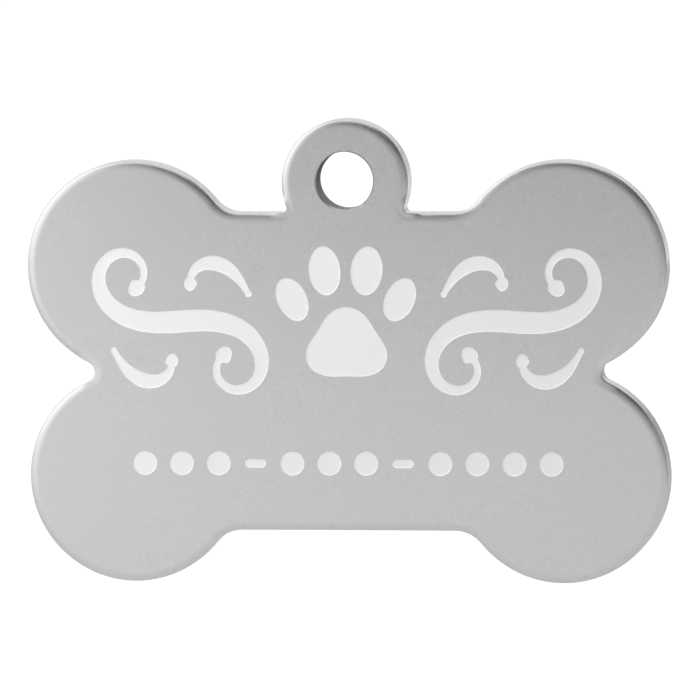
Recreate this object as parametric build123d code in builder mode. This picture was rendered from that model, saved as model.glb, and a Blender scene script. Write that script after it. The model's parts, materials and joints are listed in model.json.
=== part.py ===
"""Bone-shaped pet tag, blanked in one piece from aluminium sheet.

Millimetres, +Z up. The tag hangs upright from its ring hole, so the origin is
the hole's centre, half way through the sheet. The face looks along -Y.
"""

import math
import os

from build123d import *

# Sheet
plate_thickness = 2.0

# Bone, drawn about its own middle: four lobes, and a waist whose edges run straight between fillets
lobe_radius = 6.25
lobe_overlap = 0.1
notch_fillet = 0.6
waist_run = 12.65
waist_dip = 3.075
waist_fillet = 2.0

# Lug and ring hole, above the upper edge of the waist
lug_radius = 3.75
lug_stand = 1.775
lug_fillet = 0.3
hole_diameter = 3.4
hole_offset = 0.15

# Edges: blanking draws the rim of the face down, further across than deep, and leaves the others almost square
roll_run = 0.5
roll_depth = 0.2
back_break = 0.15
hole_break = 0.08

# How far a corner or an edge may lie from the place that it is picked by
pick_tolerance = 0.001

# Upper and lower lobes run into each other, and each waist fillet touches its lobe and the waist's edge
lobe_pitch_z = 2 * lobe_radius - lobe_overlap
waist_edge = lobe_pitch_z / 2 + lobe_radius - waist_dip
fillet_rise = waist_edge + waist_fillet - lobe_pitch_z / 2
lobe_pitch_x = waist_run + 2 * math.sqrt((lobe_radius + waist_fillet) ** 2 - fillet_rise**2)
lug_rise = waist_edge + lug_stand
hole_rise = lug_rise + hole_offset

# The rolled rim is a quarter of an ellipse: a bevel that touches it half way, blended into the face and the wall
bevel_share = 2 - math.sqrt(2)
bevel_run = bevel_share * roll_run
bevel_depth = bevel_share * roll_depth
bevel_lean = math.atan2(roll_depth, roll_run)
face_blend = (roll_run - bevel_run) / math.tan(bevel_lean / 2)
wall_blend = (roll_depth - bevel_depth) / math.tan(math.pi / 4 - bevel_lean / 2)
bevel_foot = bevel_depth - plate_thickness / 2

hole_plane = Plane.XZ
bone_plane = hole_plane.shift_origin((0, 0, -hole_rise))


def is_on_line(height):
    """Returns a filter for the corners that lie at a height above or below the bone's middle."""
    return lambda corner: abs(abs(corner.Y) - height) < pick_tolerance


def is_at_depth(depth):
    """Returns a filter for the edges that run round the plate at a depth in the sheet."""
    return lambda edge: abs(edge.center().Y - depth) < pick_tolerance


def flat_sides(plate):
    """Returns the two flat sides of a plate, the face first and then the back."""
    return plate.faces().filter_by(Axis.Y).sort_by(Axis.Y)


# Tag plate
with BuildPart() as tag_plate:
    with BuildSketch(bone_plane) as outline:
        # Two pairs of lobes, run together at the notches and joined by the waist
        with GridLocations(lobe_pitch_x, lobe_pitch_z, 2, 2):
            Circle(lobe_radius)
        Rectangle(lobe_pitch_x, 2 * waist_edge)
        fillet(outline.vertices().filter_by(is_on_line(0)), notch_fillet)
        fillet(outline.vertices().filter_by(is_on_line(waist_edge)), waist_fillet)

        # The lug, whose two corners are the ones nearest to the middle
        with Locations((0, lug_rise)):
            Circle(lug_radius)
        waist_corners = outline.vertices().filter_by(is_on_line(waist_edge))
        upper_corners = waist_corners.group_by(Axis.Y)[-1]
        fillet(upper_corners.sort_by(lambda corner: abs(corner.X))[:2], lug_fillet)
    extrude(amount=plate_thickness / 2, both=True)

    with Locations(hole_plane):
        Hole(hole_diameter / 2)

    # Hole rims, then the back's outline, then the rolled rim of the face
    face, back = flat_sides(tag_plate)
    chamfer(face.inner_wires().edges() + back.inner_wires().edges(), hole_break)
    face, back = flat_sides(tag_plate)
    fillet(back.outer_wire().edges(), back_break)
    face, back = flat_sides(tag_plate)
    chamfer(face.outer_wire().edges(), bevel_run, bevel_depth, reference=face)
    face, back = flat_sides(tag_plate)
    fillet(face.outer_wire().edges(), face_blend)
    fillet(tag_plate.edges().filter_by(is_at_depth(bevel_foot)), wall_blend)
tag_plate.part.label = "tag_plate"

os.makedirs("parts", exist_ok=True)
export_step(tag_plate.part, "parts/tag_plate.step")
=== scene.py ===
"""Dresses a bone-shaped pet tag: one satin aluminium plate with an engraved face, hung in a white studio.

Metres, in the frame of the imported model: +X along the bone, +Y from the face to the back, +Z up. The origin
is the centre of the ring hole. Marks are drawn in millimetres from the bone's middle and then seated on the
face. The studio's panels are in millimetres too.
"""

import json
import logging
import math
from dataclasses import dataclass, field, replace
from enum import Enum, IntEnum

import bmesh
import bpy
from bmesh.types import BMEdge, BMesh, BMFace, BMVert
from mathutils import Euler, Matrix, Vector


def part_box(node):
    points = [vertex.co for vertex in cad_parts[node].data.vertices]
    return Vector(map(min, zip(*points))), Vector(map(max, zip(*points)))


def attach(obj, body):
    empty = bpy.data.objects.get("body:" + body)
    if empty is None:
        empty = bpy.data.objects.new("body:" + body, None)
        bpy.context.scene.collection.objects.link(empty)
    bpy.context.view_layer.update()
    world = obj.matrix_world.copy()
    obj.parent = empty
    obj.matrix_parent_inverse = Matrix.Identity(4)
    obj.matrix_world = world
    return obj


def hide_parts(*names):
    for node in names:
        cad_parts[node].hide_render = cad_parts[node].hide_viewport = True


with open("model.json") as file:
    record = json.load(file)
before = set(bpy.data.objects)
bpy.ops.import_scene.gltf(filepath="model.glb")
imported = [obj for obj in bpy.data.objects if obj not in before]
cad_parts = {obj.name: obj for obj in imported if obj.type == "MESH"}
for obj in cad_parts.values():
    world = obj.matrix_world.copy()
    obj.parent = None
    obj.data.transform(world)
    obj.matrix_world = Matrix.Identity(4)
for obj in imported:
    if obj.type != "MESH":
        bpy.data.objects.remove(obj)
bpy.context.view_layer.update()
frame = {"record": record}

LOG = logging.getLogger("pet_tag")
MM = 0.001
MERGE = 0.0001 * MM
WHITE = (1.0, 1.0, 1.0, 1.0)
UPRIGHT = Matrix.Rotation(math.pi / 2, 4, "X")

SocketValue = float | tuple[float, ...] | bpy.types.NodeSocket


def eased(share: float) -> float:
    """Returns a share that is kept within 0 and 1, and eased at both."""
    kept = min(max(share, 0.0), 1.0)
    return kept**2 * (3 - 2 * kept)


class Surface(IntEnum):
    """The plate's finishes, numbered as its material slots."""

    SATIN = 0
    PUNCHED = 1
    FROSTED = 2


class Side(Enum):
    """The two flat sides of the plate, by the direction that they look along Y."""

    FACE = -1
    BACK = 1


class NodeSheet:
    """A node tree that is written line by line."""

    def __init__(self, tree: bpy.types.NodeTree) -> None:
        """Takes an existing tree and empties it."""
        self.tree = tree
        tree.nodes.clear()

    def add(
        self, kind: str, sockets: dict[str | int, SocketValue] | None = None, **settings: object
    ) -> bpy.types.Node:
        """Adds one node.

        Args:
            kind: the node's type, without the leading ShaderNode or Node.
            sockets: an input's name or number, with the value or the output socket that it takes.
            settings: the node's own properties.

        Returns:
            The new node.
        """
        prefix = "" if kind.startswith("NodeGroup") else "ShaderNode"
        node = self.tree.nodes.new(prefix + kind)
        for name, value in settings.items():
            setattr(node, name, value)
        for key, value in (sockets or {}).items():
            if isinstance(value, bpy.types.NodeSocket):
                self.tree.links.new(value, node.inputs[key])
            else:
                node.inputs[key].default_value = value
        return node

    def math(self, operation: str, *values: SocketValue) -> bpy.types.NodeSocket:
        """Adds a Math node and returns its result."""
        return self.add("Math", dict(enumerate(values)), operation=operation).outputs[0]

    def blend(
        self, share: bpy.types.NodeSocket, low: SocketValue, high: SocketValue
    ) -> bpy.types.NodeSocket:
        """Returns a value that runs from low to high as the share runs from 0 to 1."""
        return self.add("MapRange", {"Value": share, "To Min": low, "To Max": high}).outputs["Result"]

    def ramp(self, value: bpy.types.NodeSocket, start: float, end: float) -> bpy.types.NodeSocket:
        """Returns a smooth mask that is 0 before start and 1 after end."""
        sockets = {"Value": value, "From Min": start, "From Max": end}
        return self.add("MapRange", sockets, interpolation_type="SMOOTHSTEP").outputs["Result"]


@dataclass(frozen=True)
class MillGrain:
    """Rolling lines, soft mottling and fine scuffs, as a node group that every finish of the sheet shares.

    The scuffs are the peaks and the hollows of a noise, and plain sheet lies between them at half height.
    They are deeper where the sheet is worn: more and more along X, between two places, and in patches of
    the mottling.
    """

    name: str = "mill_grain"
    line_detail: float = 3.0
    line_roughness: float = 0.6
    mottle_per_metre: float = 140.0
    mottle_detail: float = 2.0
    scuff_per_metre: float = 2400.0
    scuff_detail: float = 2.0
    scuff_distortion: float = 2.2
    peak_ramp: tuple[float, float] = (0.56, 0.72)
    hollow_ramp: tuple[float, float] = (0.44, 0.28)
    worn_from_to: tuple[float, float] = (-15 * MM, 12 * MM)
    patch_ramp: tuple[float, float] = (0.4, 0.6)
    new_worn_depth: tuple[float, float] = (0.15, 0.5)
    plain_height: float = 0.5

    def build(self) -> bpy.types.ShaderNodeTree:
        """Builds the group, whose Lines per metre stretch the grain along the sheet's axes.

        Returns:
            The node group, with the outputs Line, Mottle and Scuff, each from 0 to 1.
        """
        tree = bpy.data.node_groups.new(self.name, "ShaderNodeTree")
        tree.interface.new_socket("Lines per metre", in_out="INPUT", socket_type="NodeSocketVector")
        for output in ("Line", "Mottle", "Scuff"):
            tree.interface.new_socket(output, in_out="OUTPUT", socket_type="NodeSocketFloat")
        sheet = NodeSheet(tree)
        given = sheet.add("NodeGroupInput")
        place = sheet.add("TexCoord").outputs["Object"]
        stretched = sheet.add("VectorMath", {0: place, 1: given.outputs[0]}, operation="MULTIPLY").outputs[0]
        line = sheet.add(
            "TexNoise",
            {"Vector": stretched, "Scale": 1.0, "Detail": self.line_detail, "Roughness": self.line_roughness},
        ).outputs["Fac"]
        mottle = sheet.add(
            "TexNoise", {"Vector": place, "Scale": self.mottle_per_metre, "Detail": self.mottle_detail}
        ).outputs["Fac"]
        scuff = sheet.add(
            "TexNoise",
            {
                "Vector": place,
                "Scale": self.scuff_per_metre,
                "Detail": self.scuff_detail,
                "Distortion": self.scuff_distortion,
            },
        ).outputs["Fac"]
        flecks = sheet.math(
            "SUBTRACT", sheet.ramp(scuff, *self.peak_ramp), sheet.ramp(scuff, *self.hollow_ramp)
        )
        along = sheet.add("SeparateXYZ", {0: place}).outputs["X"]
        worn = sheet.math(
            "ADD", sheet.ramp(along, *self.worn_from_to), sheet.ramp(mottle, *self.patch_ramp)
        )
        depth = sheet.blend(worn, *self.new_worn_depth)
        height = sheet.math("MULTIPLY_ADD", flecks, depth, self.plain_height)
        sheet.add("NodeGroupOutput", {"Line": line, "Mottle": mottle, "Scuff": height})
        return tree


@dataclass(frozen=True)
class Finish:
    """A surface of the metal: the values that its shader takes as they are, and how far the grain moves them.

    A finish with rim values runs over to them across the rolled rim. One with a painted shade grey runs over
    to it from the bottom of its span to the top, which lie as far below the hole's centre as above it:
    painted shade.
    """

    name: str
    grey: float
    grey_grain: float
    roughness: float
    roughness_grain: float
    lines_per_metre: tuple[float, float, float]
    line_height: float
    metallic: float = 1.0
    specular: float = 0.5
    rim_roughness: float | None = None
    rim_grey: float | None = None
    rim_scuff: float = 0.0
    scuff: float = 0.0
    scuff_roughness_share: float = 0.5
    mottle: float = 0.015
    painted_shade_grey: float | None = None
    painted_shade_span: float = 0.0

    def build(self, grain: bpy.types.ShaderNodeTree) -> bpy.types.Material:
        """Builds the material.

        Args:
            grain: the node group with the mill grain.

        Returns:
            The finished material.
        """
        material = bpy.data.materials.new(self.name)
        material.use_nodes = True
        sheet = NodeSheet(material.node_tree)
        mill = sheet.add("Group", node_tree=grain)
        mill.inputs["Lines per metre"].default_value = self.lines_per_metre
        line, mottle, scuff = (mill.outputs[name] for name in ("Line", "Mottle", "Scuff"))

        grey = sheet.blend(line, self.grey - self.grey_grain, self.grey + self.grey_grain)
        # Painted shade: the grey runs darker from the bottom of the span to its top, about the hole's centre.
        if self.painted_shade_grey is not None:
            place = sheet.add("TexCoord").outputs["Object"]
            painted_shade_rise = sheet.ramp(sheet.add("SeparateXYZ", {0: place}).outputs["Z"], -self.painted_shade_span, self.painted_shade_span)
            grey = sheet.blend(painted_shade_rise, grey, self.painted_shade_grey)
        grey = sheet.math("MULTIPLY", grey, sheet.blend(mottle, 1.0 - self.mottle, 1.0 + self.mottle))
        grey = sheet.math("MULTIPLY", grey, sheet.blend(scuff, 1.0 - self.scuff, 1.0 + self.scuff))
        rough = sheet.blend(
            line, self.roughness - self.roughness_grain, self.roughness + self.roughness_grain
        )
        rough_scuff = self.scuff * self.scuff_roughness_share
        rough = sheet.math("ADD", rough, sheet.blend(scuff, -rough_scuff, rough_scuff))
        height = line
        if self.rim_roughness is not None:
            rim = sheet.add("Attribute", attribute_name=BonePlate.rim_layer).outputs["Fac"]
            rough = sheet.blend(rim, rough, self.rim_roughness)
            grey = sheet.blend(rim, grey, self.rim_grey)
            height = sheet.math("MULTIPLY_ADD", sheet.math("MULTIPLY", scuff, rim), self.rim_scuff, line)
        bump = sheet.add("Bump", {"Height": height, "Strength": 1.0, "Distance": self.line_height})
        shader = sheet.add(
            "BsdfPrincipled",
            {
                "Base Color": grey,
                "Metallic": self.metallic,
                "Specular IOR Level": self.specular,
                "Roughness": rough,
                "Normal": bump.outputs["Normal"],
            },
        )
        sheet.add("OutputMaterial", {"Surface": shader.outputs["BSDF"]})
        return material


SATIN = Finish(
    name="satin_aluminium",
    grey=0.432,
    grey_grain=0.012,
    roughness=0.36,
    roughness_grain=0.03,
    lines_per_metre=(220.0, 2500.0, 9000.0),
    line_height=0.0006 * MM,
    rim_roughness=0.2,
    rim_grey=0.442,
    rim_scuff=18.0,
    scuff=0.085,
)
PUNCHED = Finish(
    name="punched_aluminium",
    grey=0.42,
    grey_grain=0.03,
    roughness=0.6,
    roughness_grain=0.08,
    lines_per_metre=(6000.0, 500.0, 6000.0),
    line_height=0.002 * MM,
    metallic=0.0,
    specular=0.0,
    # painted shade: the hole's wall is painted darker towards its top
    painted_shade_grey=0.22,
    painted_shade_span=1.2 * MM,
)
FROSTED = Finish(
    name="frosted_mark",
    grey=0.97,
    grey_grain=0.02,
    roughness=0.6,
    roughness_grain=0.05,
    lines_per_metre=(5000.0, 5000.0, 14000.0),
    line_height=0.002 * MM,
    metallic=0.0,
)


class Pen:
    """Draws an outline upright in the XZ plane, from one vertex."""

    towards_viewer = Vector((0, -1, 0))
    least_steps = 8

    def __init__(self, bm: BMesh, start: Vector, step: float) -> None:
        """Sets the pen down.

        Args:
            bm: the mesh to draw in.
            start: where the outline starts.
            step: about how long each piece of a line or an arc is.
        """
        self.bm = bm
        self.step = step
        self.tip: BMVert = bm.verts.new(start)

    def line(self, end: Vector) -> None:
        """Draws a straight line.

        Args:
            end: where the line ends.
        """
        start = self.tip.co.copy()
        steps = max(1, round((end - start).length / self.step))
        for index in range(steps):
            drawn = bmesh.ops.extrude_vert_indiv(self.bm, verts=[self.tip])
            self.tip = drawn["verts"][0]
            self.tip.co = start.lerp(end, (index + 1) / steps)

    def arc(self, centre: Vector, turn: float) -> None:
        """Draws an arc.

        Args:
            centre: the arc's centre.
            turn: how far it turns, in radians, anticlockwise as the viewer sees it.
        """
        length = abs(turn) * (self.tip.co - centre).length
        drawn = bmesh.ops.spin(
            self.bm,
            geom=[self.tip],
            cent=centre,
            axis=self.towards_viewer,
            angle=turn,
            steps=max(self.least_steps, round(length / self.step)),
        )
        self.tip = next(item for item in drawn["geom_last"] if isinstance(item, BMVert))


class Mark:
    """A shape engraved in the face. It is drawn flat in X and Z, in millimetres from the bone's middle."""

    def patch(self, bm: BMesh, shrink: float) -> list[BMVert]:
        """Draws the mark's area.

        Args:
            bm: the mesh to draw in.
            shrink: how far the area's edge lies inside the mark's own.

        Returns:
            The area's vertices.
        """
        raise NotImplementedError


@dataclass(frozen=True)
class Spot(Mark):
    """A round or oval mark."""

    x: float
    z: float
    radius_x: float
    radius_z: float
    tilt: float = 0.0
    segments: int = 56

    def patch(self, bm: BMesh, shrink: float) -> list[BMVert]:
        """Draws the mark's area.

        Args:
            bm: the mesh to draw in.
            shrink: how far the area's edge lies inside the mark's own.

        Returns:
            The area's vertices.
        """
        place = Matrix.Translation((self.x, 0, self.z)) @ Matrix.Rotation(math.radians(-self.tilt), 4, "Y")
        size = Matrix.Diagonal((self.radius_x - shrink, 1, self.radius_z - shrink, 1))
        drawn = bmesh.ops.create_circle(
            bm, cap_ends=True, radius=1, segments=self.segments, matrix=place @ size @ UPRIGHT
        )
        return drawn["verts"]

    def mirrored(self) -> "Spot":
        """Returns the mark on the other side of the bone."""
        return replace(self, x=-self.x, tilt=-self.tilt)


@dataclass(frozen=True)
class Pad(Mark):
    """The main pad of a paw: a round form with one lobe up and two lobes down."""

    x: float
    z: float
    radius_x: float
    radius_z: float
    lobe_share: float
    lobe_count: int = 3
    segments: int = 96

    def patch(self, bm: BMesh, shrink: float) -> list[BMVert]:
        """Draws the mark's area.

        Args:
            bm: the mesh to draw in.
            shrink: how far the area's edge lies inside the mark's own.

        Returns:
            The area's vertices.
        """
        drawn = bmesh.ops.create_circle(bm, cap_ends=True, radius=1, segments=self.segments, matrix=UPRIGHT)
        for vert in drawn["verts"]:
            reach = 1 - self.lobe_share * math.sin(self.lobe_count * math.atan2(vert.co.z, vert.co.x))
            vert.co.x = self.x + vert.co.x * (reach * self.radius_x - shrink)
            vert.co.z = self.z + vert.co.z * (reach * self.radius_z - shrink)
        return drawn["verts"]


@dataclass(frozen=True)
class Stroke(Mark):
    """A scroll's stroke: a strip along a curve whose bend changes evenly, with a belly and two round ends.

    It is placed by its middle, where the heading is in degrees, anticlockwise from +X. The bends are the
    curvature at the two ends, per millimetre.
    """

    x: float
    z: float
    heading: float
    length: float
    bends: tuple[float, float]
    ends: tuple[float, float]
    neck: float
    belly: float
    hand: int = 1
    segments: int = 150
    substeps: int = 12

    def half_width(self, run: float, shrink: float) -> float:
        """Works out half the strip's width.

        Args:
            run: the distance along the strip.
            shrink: how far the strip's edge lies inside the mark's own.

        Returns:
            Half the width there.
        """
        width = 0.0
        for radius, away in zip(self.ends, (run, self.length - run)):
            reach = (radius - shrink) ** 2 - (radius - away) ** 2
            if away < radius:
                return math.sqrt(max(reach, 0.0))
            width = max(width, math.sqrt(max(reach, 0.0)))
        swell = math.sin(math.pi * run / self.length) ** 2
        return max(width, self.neck + (self.belly - self.neck) * swell - shrink)

    def angle(self, run: float) -> float:
        """Works out the curve's direction.

        Args:
            run: the distance along the curve.

        Returns:
            The direction there, in radians.
        """
        first, last = self.bends
        from_middle = run - self.length / 2
        middle_bend = (first + last) / 2
        tightening = (last - first) / self.length
        return math.radians(self.heading) + middle_bend * from_middle + tightening * from_middle**2 / 2

    def centre_line(self, shrink: float) -> list[tuple[float, Vector, Vector]]:
        """Follows the curve.

        Args:
            shrink: how far the line starts and stops short of the mark's ends.

        Returns:
            For each step the distance along, the point and the direction across. The steps are closer
            together towards the ends.
        """
        run = 0.0
        point = Vector((0, 0, 0))
        stations = []
        for index in range(self.segments + 1):
            share = (1 - math.cos(math.pi * index / self.segments)) / 2
            step = (shrink + (self.length - 2 * shrink) * share - run) / self.substeps
            for _ in range(self.substeps):
                angle = self.angle(run + step / 2)
                point += Vector((math.cos(angle), 0, math.sin(angle))) * step
                run += step
            angle = self.angle(run)
            stations.append((run, point.copy(), Vector((-math.sin(angle), 0, math.cos(angle)))))
        shift = Vector((self.x, 0, self.z)) - stations[self.segments // 2][1]
        return [(run, point + shift, across) for run, point, across in stations]

    def patch(self, bm: BMesh, shrink: float) -> list[BMVert]:
        """Draws the mark's area.

        Args:
            bm: the mesh to draw in.
            shrink: how far the area's edge lies inside the mark's own.

        Returns:
            The area's vertices.
        """
        stations = self.centre_line(shrink)
        drawn = bmesh.ops.create_grid(bm, x_segments=self.segments, y_segments=1, size=1)
        verts = drawn["verts"]
        for vert in verts:
            run, point, across = stations[round((vert.co.x + 1) / 2 * self.segments)]
            vert.co = point + across * vert.co.y * self.half_width(run, shrink)
            vert.co.x *= self.hand
        bmesh.ops.remove_doubles(bm, verts=verts, dist=MERGE / MM)
        return [vert for vert in verts if vert.is_valid]

    def mirrored(self) -> "Stroke":
        """Returns the mark on the other side of the bone."""
        return replace(self, hand=-self.hand)


@dataclass
class Ornament:
    """What is engraved on the face: a paw between two scrolls, over a row of beads and dashes."""

    bead_groups: tuple[int, ...] = (3, 3, 4)
    bead_pitch: float = 2.2
    bead_radius: float = 0.72
    bead_row: float = -5.4
    dash_length: float = 1.3
    dash_radius: float = 0.26
    dash_segments: int = 40

    pad: Pad = Pad(x=0.0, z=1.55, radius_x=2.3, radius_z=2.05, lobe_share=0.13)
    inner_toe: Spot = Spot(x=1.25, z=6.0, radius_x=0.95, radius_z=1.45, tilt=-6.0)
    outer_toe: Spot = Spot(x=3.2, z=4.3, radius_x=0.88, radius_z=1.35, tilt=-26.0)
    scroll: Stroke = Stroke(
        x=9.9, z=3.0, heading=-4.0, length=24.0, bends=(-1.05, 1.05), ends=(0.5, 0.5), neck=0.2, belly=0.66
    )
    upper_curl: Stroke = Stroke(
        x=7.6, z=6.4, heading=15.0, length=5.6, bends=(0.0, -1.15), ends=(0.2, 0.4), neck=0.17, belly=0.44
    )
    lower_curl: Stroke = replace(upper_curl, x=12.1, z=-0.5, heading=195.0)

    def paw(self) -> list[Mark]:
        """Returns the pad and the four toes."""
        toes = [mark for toe in (self.inner_toe, self.outer_toe) for mark in (toe, toe.mirrored())]
        return [self.pad, *toes]

    def scrolls(self) -> list[Mark]:
        """Returns the scroll and its curls on both sides of the paw."""
        right = [self.scroll, self.upper_curl, self.lower_curl]
        return right + [mark.mirrored() for mark in right]

    def beads(self) -> list[Mark]:
        """Sets out the lower row.

        Returns:
            The beads from left to right, in groups with a dash between them.
        """
        slots = sum(self.bead_groups) + len(self.bead_groups) - 1
        x = -self.bead_pitch * (slots - 1) / 2
        marks: list[Mark] = []
        for group, count in enumerate(self.bead_groups):
            if group:
                marks.append(self.dash(x))
                x += self.bead_pitch
            for _ in range(count):
                marks.append(Spot(x, self.bead_row, self.bead_radius, self.bead_radius))
                x += self.bead_pitch
        return marks

    def dash(self, x: float) -> Stroke:
        """Draws one straight dash of the lower row.

        Args:
            x: where its middle is.

        Returns:
            The dash.
        """
        return Stroke(
            x=x,
            z=self.bead_row,
            heading=0.0,
            length=self.dash_length,
            bends=(0.0, 0.0),
            ends=(self.dash_radius, self.dash_radius),
            neck=self.dash_radius,
            belly=self.dash_radius,
            segments=self.dash_segments,
        )

    def marks(self) -> list[Mark]:
        """Returns every mark on the face."""
        return self.paw() + self.scrolls() + self.beads()


@dataclass
class BonePlate:
    """The tag itself: a bone-shaped plate with a lug, a punched hole, a rolled rim and engraved marks."""

    name: str = "bone_plate"
    node: str = "tag_plate"
    body: str = "root"
    slot: str = "satin_aluminium"
    hole_mount: str = "ring_hole"

    lobe_radius: float = 6.25 * MM
    lobe_overlap: float = 0.1 * MM
    notch_fillet: float = 0.6 * MM
    waist_dip: float = 3.075 * MM
    waist_fillet: float = 2.0 * MM
    lug_radius: float = 3.75 * MM
    lug_fillet: float = 0.3 * MM

    roll_run: float = 0.5 * MM
    roll_depth: float = 0.2 * MM
    roll_steps: int = 16
    corner_spread: float = 0.9 * MM
    corner_reach: float = 0.6 * MM
    back_break: float = 0.15 * MM
    break_steps: int = 4
    hole_break: float = 0.08 * MM
    hole_segments: int = 128
    border: float = 0.1 * MM
    outline_step: float = 0.16 * MM

    mark_depth: float = 0.035 * MM
    mark_slope: float = 0.03

    ornament: Ornament = field(default_factory=Ornament)

    rim_layer = "rim"

    def __post_init__(self) -> None:
        """Takes the plate's place from its node and the hole from its mount, and sets out the outline."""
        self.low, self.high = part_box(self.node)
        mount = next(item for item in frame["record"]["mounts"] if item["name"] == self.hole_mount)
        self.hole_radius = mount["dims"]["r_mm"] * MM
        self.lobe_x = self.high.x - self.lobe_radius
        self.lobe_z = self.lobe_radius - self.lobe_overlap / 2
        self.middle = self.low.z + self.lobe_z + self.lobe_radius
        self.lug_z = self.high.z - self.lug_radius - self.middle
        self.waist_edge = self.lobe_z + self.lobe_radius - self.waist_dip
        waist_arm = self.lobe_radius + self.waist_fillet
        notch_arm = self.lobe_radius + self.notch_fillet
        lug_arm = self.lug_radius + self.lug_fillet
        self.waist_lean = math.asin((self.waist_edge + self.waist_fillet - self.lobe_z) / waist_arm)
        self.notch_lean = math.asin(self.lobe_z / notch_arm)
        self.lug_lean = math.asin((self.lug_z - self.waist_edge - self.lug_fillet) / lug_arm)
        waist_end = self.lobe_x - waist_arm * math.cos(self.waist_lean)
        self.low_waist = self.at(waist_end, -self.waist_edge - self.waist_fillet)
        self.notch = self.at(self.lobe_x + notch_arm * math.cos(self.notch_lean), 0)
        self.high_waist = self.at(waist_end, self.waist_edge + self.waist_fillet)
        self.lug_corner = self.at(lug_arm * math.cos(self.lug_lean), self.waist_edge + self.lug_fillet)
        self.hollow_corners = (
            (self.low_waist, self.waist_fillet),
            (self.notch, self.notch_fillet),
            (self.high_waist, self.waist_fillet),
            (self.lug_corner, self.lug_fillet),
        )

    def at(self, x: float, z: float) -> Vector:
        """Returns a point of the back's outline, from the bone's middle."""
        return Vector((x, self.high.y, self.middle + z))

    def level(self, side: Side) -> float:
        """Returns where a flat side lies along Y."""
        return self.low.y if side is Side.FACE else self.high.y

    def draw_outline(self, bm: BMesh) -> None:
        """Draws the right half of the outline from the foot of the waist up to the lug, and mirrors it.

        Args:
            bm: the empty mesh.
        """
        quarter = math.pi / 2
        waist_turn = quarter - self.waist_lean
        lobe_turn = math.pi + self.notch_lean - self.waist_lean
        lug_turn = quarter + self.lug_lean

        pen = Pen(bm, self.at(0, -self.waist_edge), self.outline_step)
        pen.line(self.at(self.low_waist.x, -self.waist_edge))
        pen.arc(self.low_waist, -waist_turn)
        pen.arc(self.at(self.lobe_x, -self.lobe_z), lobe_turn)
        pen.arc(self.notch, -2 * self.notch_lean)
        pen.arc(self.at(self.lobe_x, self.lobe_z), lobe_turn)
        pen.arc(self.high_waist, -waist_turn)
        pen.line(self.at(self.lug_corner.x, self.waist_edge))
        pen.arc(self.lug_corner, -lug_turn)
        pen.arc(self.at(0, self.lug_z), lug_turn)
        bmesh.ops.mirror(bm, geom=bm.verts[:] + bm.edges[:], axis="X", merge_dist=MERGE)
        bmesh.ops.remove_doubles(bm, verts=bm.verts[:], dist=MERGE)

    def raise_walls(self, bm: BMesh) -> dict[Side, list[BMEdge]]:
        """Pulls the outline forward through the sheet, caps both ends and rounds their rims.

        Args:
            bm: the mesh that holds the outline.

        Returns:
            For each flat side, the loop of edges that its flat has to meet.
        """
        back_loop = bm.edges[:]
        pulled = bmesh.ops.extrude_edge_only(bm, edges=back_loop)["geom"]
        face_loop = [item for item in pulled if isinstance(item, BMEdge)]
        face_verts = [item for item in pulled if isinstance(item, BMVert)]
        bmesh.ops.translate(bm, verts=face_verts, vec=(0, self.low.y - self.high.y, 0))
        for loop in (face_loop, back_loop):
            bmesh.ops.contextual_create(bm, geom=loop)
        bmesh.ops.recalc_face_normals(bm, faces=bm.faces[:])
        self.round_rim(bm, face_loop, self.roll_run, self.roll_steps)
        self.press_roll(bm)
        self.round_rim(bm, back_loop, self.back_break, self.break_steps)
        self.hold_wall(bm)
        for item in bm.faces:
            item.smooth = True
        return {side: self.open_side(bm, side) for side in Side}

    def round_rim(self, bm: BMesh, loop: list[BMEdge], radius: float, steps: int) -> None:
        """Rounds one rim of the walls.

        Args:
            bm: the mesh with its walls and caps.
            loop: the rim's edges.
            radius: the round's radius.
            steps: how many facets go round it.
        """
        bmesh.ops.bevel(
            bm,
            geom=loop,
            offset=radius,
            offset_type="OFFSET",
            segments=steps,
            profile=0.5,
            affect="EDGES",
            material=-1,
        )

    def press_roll(self, bm: BMesh) -> None:
        """Presses the face's round rim flat: it runs further across than it is deep, least in hollow corners.

        Args:
            bm: the mesh with the face's rim rounded.
        """
        rolled = [vert for vert in bm.verts if vert.co.y < self.low.y + self.roll_run + MERGE]
        from_face = Matrix.Translation((0, -self.low.y, 0))
        bmesh.ops.scale(bm, vec=(1, self.roll_depth / self.roll_run, 1), space=from_face, verts=rolled)
        for vert in rolled:
            vert.co.y = self.low.y + (vert.co.y - self.low.y) * self.roll_share(vert.co)

    def roll_share(self, place: Vector) -> float:
        """Works out how much of the full roll the rim has. A tight hollow corner draws down least.

        Args:
            place: a point of the rim.

        Returns:
            The share of the full depth.
        """
        share = 1.0
        for centre, radius in self.hollow_corners:
            away = math.hypot(abs(place.x) - centre.x, place.z - centre.z) - radius
            least = radius**2 / (radius**2 + self.corner_spread**2)
            share = min(share, least + (1 - least) * eased(away / self.corner_reach))
        return share

    def hold_wall(self, bm: BMesh) -> None:
        """Cuts the wall beside both rims, so that it is shaded flat between them.

        Args:
            bm: the mesh with both rims rounded.
        """
        by_face = self.low.y + self.roll_depth + self.border
        by_back = self.high.y - self.back_break - self.border
        for level in (by_face, by_back):
            everything = bm.verts[:] + bm.edges[:] + bm.faces[:]
            bmesh.ops.bisect_plane(
                bm, geom=everything, dist=MERGE, plane_co=(0, level, 0), plane_no=(0, 1, 0)
            )

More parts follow.
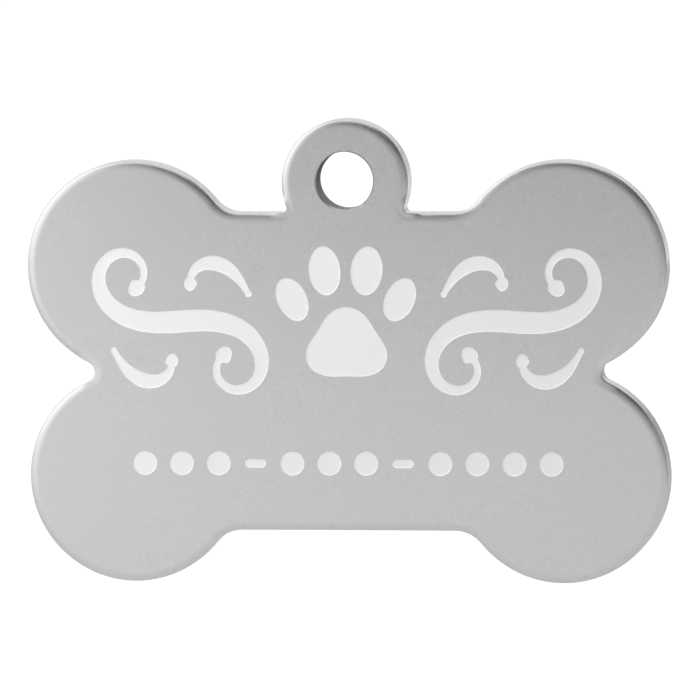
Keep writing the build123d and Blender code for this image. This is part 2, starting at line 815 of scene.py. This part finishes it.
    def open_side(self, bm: BMesh, side: Side) -> list[BMEdge]:
        """Takes the flat off one side, but for a narrow border that keeps the rim's shading true.

        Args:
            bm: the mesh with its walls and caps.
            side: the side to open.

        Returns:
            The edges round the opening.
        """
        level = self.level(side)
        cap = max(
            (item for item in bm.faces if all(abs(vert.co.y - level) < MERGE for vert in item.verts)),
            key=lambda item: item.calc_area(),
        )
        bmesh.ops.inset_region(
            bm, faces=[cap], thickness=self.border, use_boundary=True, use_even_offset=True
        )
        loop = list(cap.edges)
        bmesh.ops.delete(bm, geom=[cap], context="FACES_ONLY")
        return loop

    def punch_hole(self, bm: BMesh) -> dict[Side, list[BMEdge]]:
        """Makes the wall of the ring hole, with a small chamfer at both ends.

        Args:
            bm: the mesh of the plate.

        Returns:
            For each flat side, the hole's edge there.
        """
        stations = [
            (self.low.y, self.hole_radius + self.hole_break),
            (self.low.y + self.hole_break, self.hole_radius),
            (self.high.y - self.hole_break, self.hole_radius),
            (self.high.y, self.hole_radius + self.hole_break),
        ]
        loops = []
        for y, radius in stations:
            matrix = Matrix.Translation((0, y, 0)) @ UPRIGHT
            circle = bmesh.ops.create_circle(bm, radius=radius, segments=self.hole_segments, matrix=matrix)
            loops.append(list(dict.fromkeys(edge for vert in circle["verts"] for edge in vert.link_edges)))
        surfaces = (Surface.SATIN, Surface.PUNCHED, Surface.SATIN)
        for front, rear, surface in zip(loops, loops[1:], surfaces):
            for ring in bmesh.ops.bridge_loops(bm, edges=front + rear)["faces"]:
                ring.material_index = surface
                ring.smooth = surface is Surface.PUNCHED
        for loop in loops:
            for edge in loop:
                edge.smooth = False
        return {Side.FACE: loops[0], Side.BACK: loops[-1]}

    def engrave(self, bm: BMesh, mark: Mark) -> list[BMEdge]:
        """Cuts one mark: a sloping wall down to a frosted floor.

        Args:
            bm: the mesh of the plate.
            mark: the shape to cut.

        Returns:
            The mark's rim in the face.
        """
        rims = []
        areas = []
        for depth, shrink in ((0.0, 0.0), (self.mark_depth, self.mark_slope)):
            verts = mark.patch(bm, shrink)
            seat = Matrix.Translation((0, self.low.y + depth, self.middle)) @ Matrix.Scale(MM, 4)
            bmesh.ops.transform(bm, matrix=seat, verts=verts)
            area = list(dict.fromkeys(item for vert in verts for item in vert.link_faces))
            areas.append(area)
            rims.append([edge for item in area for edge in item.edges if edge.is_boundary])
        walls = bmesh.ops.bridge_loops(bm, edges=rims[0] + rims[1])["faces"]
        bmesh.ops.delete(bm, geom=areas[0], context="FACES")
        for item in walls + areas[1]:
            item.material_index = Surface.FROSTED
        return rims[0]

    def fill_side(self, bm: BMesh, edges: list[BMEdge]) -> None:
        """Fills a flat side between its border, the hole and the marks.

        Args:
            bm: the mesh of the plate.
            edges: every loop that the side has to meet.
        """
        filled = bmesh.ops.triangle_fill(bm, edges=edges, use_beauty=True, use_dissolve=False)["geom"]
        for item in filled:
            if isinstance(item, BMFace):
                item.material_index = Surface.SATIN
                item.smooth = False

    def grade_rim(self, bm: BMesh) -> None:
        """Writes how far round the rim each vertex lies: 0 on the flats, 1 on the wall.

        Args:
            bm: the finished mesh.
        """
        layer = bm.verts.layers.float.new(self.rim_layer)
        for vert in bm.verts:
            if any(item.smooth and item.material_index == Surface.SATIN for item in vert.link_faces):
                from_face = (vert.co.y - self.low.y) / self.roll_depth
                from_back = (self.high.y - vert.co.y) / self.back_break
                vert[layer] = min(1.0, from_face, from_back)

    def build(self, finishes: dict[Surface, bpy.types.Material]) -> bpy.types.Object:
        """Builds and dresses the plate.

        Args:
            finishes: the material of each surface.

        Returns:
            The plate's object, which stands for the CAD node.
        """
        bm = bmesh.new()
        self.draw_outline(bm)
        openings = self.raise_walls(bm)
        holes = self.punch_hole(bm)
        rims = [edge for mark in self.ornament.marks() for edge in self.engrave(bm, mark)]
        self.fill_side(bm, openings[Side.FACE] + holes[Side.FACE] + rims)
        self.fill_side(bm, openings[Side.BACK] + holes[Side.BACK])
        bmesh.ops.remove_doubles(bm, verts=bm.verts[:], dist=MERGE)
        bmesh.ops.recalc_face_normals(bm, faces=bm.faces[:])
        self.grade_rim(bm)

        mesh = bpy.data.meshes.new(self.name)
        bm.to_mesh(mesh)
        bm.free()
        for surface in Surface:
            mesh.materials.append(finishes[surface])
        plate = bpy.data.objects.new(self.name, mesh)
        bpy.context.scene.collection.objects.link(plate)
        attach(plate, self.body)
        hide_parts(self.node)
        return plate


@dataclass(frozen=True)
class Panel:
    """A wall or a light of the tent round the tag, out of the camera's sight, for the metal to mirror.

    Its corners are in millimetres from the tag's hole, and its level is how bright it is beside the white
    room. A card that doesn't light the room is there for the mirror image alone and leaves no shade on the
    floor.
    """

    name: str
    low: tuple[float, float, float]
    high: tuple[float, float, float]
    level: float
    lights_room: bool = True

    def build_material(self) -> bpy.types.Material:
        """Builds the panel's glow.

        Returns:
            The glowing material.
        """
        material = bpy.data.materials.new(self.name)
        material.use_nodes = True
        sheet = NodeSheet(material.node_tree)
        shader = sheet.add("Emission", {"Strength": self.level})
        sheet.add("OutputMaterial", {"Surface": shader.outputs["Emission"]})
        return material

    def build(self) -> bpy.types.Object:
        """Builds the panel.

        Returns:
            The panel's object.
        """
        low, high = (Vector(corner) * MM for corner in (self.low, self.high))
        place = Matrix.Translation((low + high) / 2) @ Matrix.Diagonal((*(high - low), 1.0))
        bm = bmesh.new()
        bmesh.ops.create_cube(bm, size=1.0, matrix=place)
        mesh = bpy.data.meshes.new(self.name)
        bm.to_mesh(mesh)
        bm.free()
        mesh.materials.append(self.build_material())
        panel = bpy.data.objects.new(self.name, mesh)
        panel.visible_camera = False
        panel.visible_diffuse = panel.visible_shadow = self.lights_room
        bpy.context.scene.collection.objects.link(panel)
        return panel


@dataclass
class Studio:
    """A white room with a floor close under the tag, and a tent of panels that the metal mirrors.

    The tent's planes are in millimetres from the tag's hole. Its panels are light on the left and along the
    foot, and dark at the upper right.
    """

    floor_gap: float = 8.0 * MM
    floor_radius: float = 1.6
    floor_segments: int = 96
    floor_roughness: float = 0.9
    floor_grey: float = 0.33
    floor_glow: float = 0.8
    room_level: float = 1.0
    tent_side: float = 120.0
    tent_front: float = -100.0
    tent_rear: float = 60.0
    tent_far_end: float = 550.0
    tent_foot: float = -32.0
    tent_front_top: float = 160.0
    tent_ceiling: float = 260.0
    tent_ceiling_end: float = 120.0
    board: float = 2.0

    def left(self, name: str, y: tuple[float, float], z: tuple[float, float], level: float) -> Panel:
        """Returns a panel of the tent's left side."""
        x = -self.tent_side
        return Panel(name, (x - self.board, y[0], z[0]), (x, y[1], z[1]), level)

    def right(self, name: str, y: tuple[float, float], z: tuple[float, float], level: float) -> Panel:
        """Returns a panel of the tent's right side."""
        x = self.tent_side
        return Panel(name, (x, y[0], z[0]), (x + self.board, y[1], z[1]), level)

    def front(self, name: str, x: tuple[float, float], z: tuple[float, float], level: float) -> Panel:
        """Returns a panel of the tent's front."""
        y = self.tent_front
        return Panel(name, (x[0], y - self.board, z[0]), (x[1], y, z[1]), level)

    def side_panels(self) -> tuple[list[Panel], list[Panel]]:
        """Sets out the tent's sides, each between its foot and the ceiling.

        Returns:
            The left side's panels and the right side's.
        """
        corner = self.tent_front - self.board
        near, far = (corner, self.tent_rear), (corner, self.tent_far_end)
        beyond = (self.tent_rear, self.tent_far_end)
        left_front_end, left_foot_top = -30.0, 0.0
        left_wall = (left_foot_top, self.tent_ceiling)
        right_foot_top, right_wall_top = -5.0, 60.0
        right_high = (right_wall_top, self.tent_ceiling)
        return (
            [
                self.left("left_wall", (corner, left_front_end), left_wall, 2.5),
                self.left("left_rear_wall", (left_front_end, self.tent_rear), left_wall, 1.6),
                self.left("left_foot", near, (self.tent_foot, left_foot_top), 1.45),
            ],
            [
                self.right("right_foot", far, (self.tent_foot, right_foot_top), 0.75),
                self.right("right_wall", far, (right_foot_top, right_wall_top), 0.53),
                self.right("right_high_wall", near, right_high, 0.2),
                self.right("right_shade", beyond, right_high, 0.06),
            ],
        )

    def front_panels(self) -> list[Panel]:
        """Sets out the tent's front, in columns that meet at seams.

        Returns:
            The panels, from the left to the right and from the foot up.
        """
        left_end, right_end = -self.tent_side, self.tent_side
        high_seam, low_seam, middle_seam, right_seam = -54.0, -41.5, -10.0, 20.0
        left_foot_top, light_top = 0.0, -15.0
        wall_top, right_wall_top, shade_top = 28.0, 34.0, 100.0
        top = (shade_top, self.tent_front_top)
        foot = (self.tent_foot, light_top)
        return [
            self.front("front_left_high_wall", (left_end, high_seam), (wall_top, self.tent_front_top), 2.5),
            self.front("front_left_wall", (left_end, low_seam), (left_foot_top, wall_top), 2.4),
            self.front("front_left_foot", (left_end, low_seam), (self.tent_foot, left_foot_top), 2.05),
            self.front("front_light", (low_seam, right_seam), foot, 1.8),
            self.front("front_right_light", (right_seam, right_end), foot, 1.37),
            self.front("front_wall", (low_seam, middle_seam), (light_top, wall_top), 0.58),
            self.front("front_right_wall", (middle_seam, right_end), (light_top, right_wall_top), 0.58),
            self.front("front_shade", (high_seam, middle_seam), (wall_top, shade_top), 0.4),
            self.front("front_right_shade", (middle_seam, right_end), (right_wall_top, shade_top), 0.12),
            self.front("top_light", (high_seam, right_seam), top, 1.85),
            self.front("top_right_wall", (right_seam, right_end), top, 0.56),
        ]

    def panels(self) -> list[Panel]:
        """Sets out the whole tent, with a card behind the tag that its right walls mirror.

        Returns:
            Every panel.
        """
        left_side, right_side = self.side_panels()
        ceiling = Panel(
            "ceiling_light",
            (-self.tent_side, self.tent_front, self.tent_ceiling),
            (self.tent_side, self.tent_ceiling_end, self.tent_ceiling + self.board),
            1.7,
        )
        card = Panel(
            "rear_card", (14.0, 55.0, self.tent_foot), (32.0, 56.0, -9.0), 0.56, lights_room=False
        )
        return [*left_side, *self.front_panels(), *right_side, ceiling, card]

    def background_rays(self, sheet: NodeSheet) -> bpy.types.NodeSocket:
        """Tells which rays have to see the plain white background.

        Args:
            sheet: the node tree to write in.

        Returns:
            A value that is 1 for those rays and 0 for the others.
        """
        path = sheet.add("LightPath")
        seen = sheet.math("MAXIMUM", path.outputs["Is Camera Ray"], path.outputs["Is Glossy Ray"])
        return sheet.math("MAXIMUM", seen, path.outputs["Is Transmission Ray"])

    def build_floor(self, under: float) -> bpy.types.Object:
        """Builds the floor.

        Args:
            under: the height of the tag's lowest point.

        Returns:
            The floor's object.
        """
        bm = bmesh.new()
        matrix = Matrix.Translation((0, 0, under - self.floor_gap))
        bmesh.ops.create_circle(
            bm, cap_ends=True, radius=self.floor_radius, segments=self.floor_segments, matrix=matrix
        )
        mesh = bpy.data.meshes.new("floor")
        bm.to_mesh(mesh)
        bm.free()
        material = bpy.data.materials.new("white_floor")
        material.use_nodes = True
        sheet = NodeSheet(material.node_tree)
        glow = sheet.math("MULTIPLY", self.background_rays(sheet), self.floor_glow)
        shader = sheet.add(
            "BsdfPrincipled",
            {
                "Base Color": (self.floor_grey, self.floor_grey, self.floor_grey, 1.0),
                "Roughness": self.floor_roughness,
                "Specular IOR Level": 0.0,
                "Emission Color": WHITE,
                "Emission Strength": glow,
            },
        )
        sheet.add("OutputMaterial", {"Surface": shader.outputs["BSDF"]})
        mesh.materials.append(material)
        floor = bpy.data.objects.new("floor", mesh)
        bpy.context.scene.collection.objects.link(floor)
        return floor

    def build_world(self) -> bpy.types.World:
        """Builds the white room.

        Returns:
            The scene's world.
        """
        world = bpy.data.worlds.new("studio")
        world.use_nodes = True
        sheet = NodeSheet(world.node_tree)
        shader = sheet.add("Background", {"Color": WHITE, "Strength": self.room_level})
        sheet.add("OutputWorld", {"Surface": shader.outputs["Background"]})
        bpy.context.scene.world = world
        return world

    def build(self, under: float) -> None:
        """Builds the floor, the room and the tent.

        Args:
            under: the height of the tag's lowest point.
        """
        self.build_floor(under)
        self.build_world()
        for panel in self.panels():
            panel.build()


@dataclass
class Viewpoint:
    """The camera at the photograph's viewing angle, with a long lens. Angles are in degrees."""

    azimuth: float = 8.5
    elevation: float = 5.2
    roll: float = 0.65
    distance: float = 0.55
    lens: float = 479.8
    sensor: float = 36.0
    clip: tuple[float, float] = (0.01, 10.0)
    aim_right: float = 0.08 * MM
    aim_above: float = 1.227 * MM

    def build(self, middle: float) -> bpy.types.Object:
        """Builds the camera.

        Args:
            middle: the height of the bone's middle.

        Returns:
            The camera's object.
        """
        data = bpy.data.cameras.new("camera")
        data.lens = self.lens
        data.sensor_width = self.sensor
        data.clip_start, data.clip_end = self.clip
        camera = bpy.data.objects.new("camera", data)
        turn = Euler((math.radians(90 - self.elevation), 0, math.radians(self.azimuth))).to_matrix().to_4x4()
        target = Vector((self.aim_right, 0, middle + self.aim_above))
        back_off = Matrix.Translation((0, 0, self.distance))
        roll = Matrix.Rotation(math.radians(-self.roll), 4, "Z")
        camera.matrix_world = Matrix.Translation(target) @ turn @ back_off @ roll
        bpy.context.scene.collection.objects.link(camera)
        bpy.context.scene.camera = camera
        return camera


def main() -> None:
    """Builds the tag, its surroundings and the camera."""
    logging.basicConfig(level=logging.INFO, format="%(name)s: %(message)s")
    bpy.context.scene.view_settings.view_transform = "Standard"
    grain = MillGrain().build()
    finishes = {
        Surface.SATIN: SATIN.build(grain),
        Surface.PUNCHED: PUNCHED.build(grain),
        Surface.FROSTED: FROSTED.build(grain),
    }
    tag = BonePlate()
    plate = tag.build(finishes)
    LOG.info("%s: %d faces, %d marks", plate.name, len(plate.data.polygons), len(tag.ornament.marks()))
    Studio().build(tag.low.z)
    Viewpoint().build(tag.middle)


if __name__ == "__main__":
    main()
